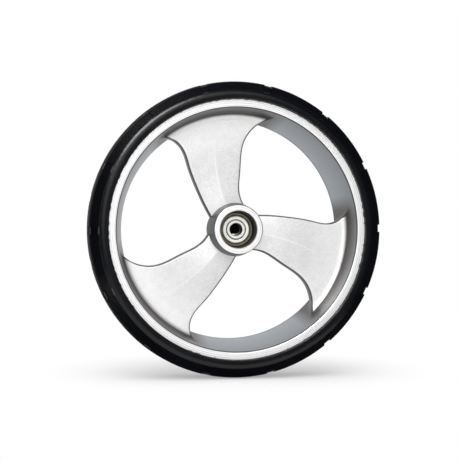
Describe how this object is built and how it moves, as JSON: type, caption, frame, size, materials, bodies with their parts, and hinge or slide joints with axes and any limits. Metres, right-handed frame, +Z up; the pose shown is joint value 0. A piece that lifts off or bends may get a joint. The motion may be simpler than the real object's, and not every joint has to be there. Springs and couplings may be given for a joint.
{
  "type": "rollator wheel",
  "caption": "Rollator wheel with a cast aluminium rim, swept spokes and hub, a solid notched tyre and shielded ball bearings on a plain axle bore.",
  "frame": {"origin": "centre of the axle bore, midway between the two bearings", "axes": "+Y along the axle towards the back of the wheel, -Y out of the dished front, +Z up"},
  "size_m": [0.19, 0.0365, 0.19],
  "materials": {
    "tyre_rubber": "moulded solid rubber, satin",
    "cast_aluminium": "die cast, silver lacquer, machined lip and hub face",
    "bearing_steel": "ground bearing steel",
    "shield_steel": "pressed sheet steel",
    "cage_steel": "pressed ribbon steel",
    "ball_steel": "polished bearing steel",
    "turned_steel": "turned, zinc plated"
  },
  "bodies": {
    "axle_core": {"front_inner_ring": "bearing_steel", "rear_inner_ring": "bearing_steel", "spacer_tube": "turned_steel"},
    "wheel": {"tyre": "tyre_rubber", "wheel_casting": "cast_aluminium", "front_outer_ring": "bearing_steel", "front_outward_shield": "shield_steel", "front_inward_shield": "shield_steel", "rear_outer_ring": "bearing_steel", "rear_outward_shield": "shield_steel", "rear_inward_shield": "shield_steel"},
    "front_ball_set": {"front_outward_cage_half": "cage_steel", "front_inward_cage_half": "cage_steel", "front_cage_rivets": "cage_steel", "front_ball_1": "ball_steel", "front_ball_2": "ball_steel", "front_ball_3": "ball_steel", "front_ball_4": "ball_steel", "front_ball_5": "ball_steel", "front_ball_6": "ball_steel", "front_ball_7": "ball_steel"},
    "rear_ball_set": {"rear_outward_cage_half": "cage_steel", "rear_inward_cage_half": "cage_steel", "rear_cage_rivets": "cage_steel", "rear_ball_1": "ball_steel", "rear_ball_2": "ball_steel", "rear_ball_3": "ball_steel", "rear_ball_4": "ball_steel", "rear_ball_5": "ball_steel", "rear_ball_6": "ball_steel", "rear_ball_7": "ball_steel"}
  },
  "joints": [
    {"name": "wheel_spin", "type": "hinge", "parent": "axle_core", "child": "wheel", "pos_m": [0, 0, 0], "axis": [0, 1, 0], "continuous": true},
    {"name": "front_ball_orbit", "type": "hinge", "parent": "axle_core", "child": "front_ball_set", "pos_m": [0, 0, 0], "axis": [0, 1, 0], "continuous": true},
    {"name": "rear_ball_orbit", "type": "hinge", "parent": "axle_core", "child": "rear_ball_set", "pos_m": [0, 0, 0], "axis": [0, 1, 0], "continuous": true}
  ],
  "couplings": [
    {"joint": "front_ball_orbit", "follows": "wheel_spin", "ratio": 0.63227},
    {"joint": "rear_ball_orbit", "follows": "wheel_spin", "ratio": 0.63227}
  ]
}
